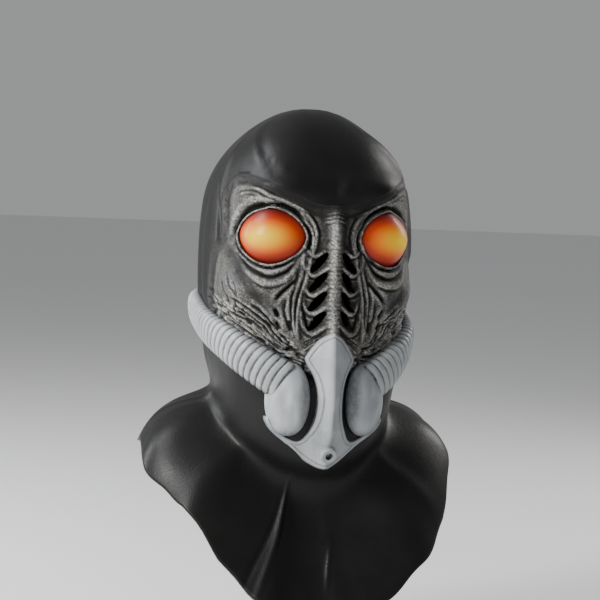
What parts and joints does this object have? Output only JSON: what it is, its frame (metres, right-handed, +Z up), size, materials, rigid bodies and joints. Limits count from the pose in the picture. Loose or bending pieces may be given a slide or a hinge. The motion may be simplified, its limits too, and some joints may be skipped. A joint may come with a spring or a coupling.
{
  "type": "gas mask style costume mask",
  "caption": "Full-head black latex costume mask with glowing domed eyes, a keeled respirator plate, filter pods, ribbed hoses and a long bib.",
  "frame": {"origin": "inside of the crown, where the mask sits on the top of the wearer's head", "axes": "+Z up, the face looks towards -Y, +X towards the wearer's left"},
  "size_m": [0.2577, 0.2188, 0.4119],
  "materials": {
    "black_latex": "glossy moulded latex, dry-brushed grey on the face",
    "eye_paint": "clear gloss over a yellow, orange and red fade",
    "grey_latex": "satin grey painted latex, worn at the edges"
  },
  "bodies": {
    "root": {"hood": "black_latex", "eye_right": "eye_paint", "eye_left": "eye_paint", "respirator_plate": "grey_latex", "pod_right": "grey_latex", "pod_left": "grey_latex", "hose_right": "grey_latex", "hose_left": "grey_latex", "valve": "grey_latex"}
  },
  "joints": []
}
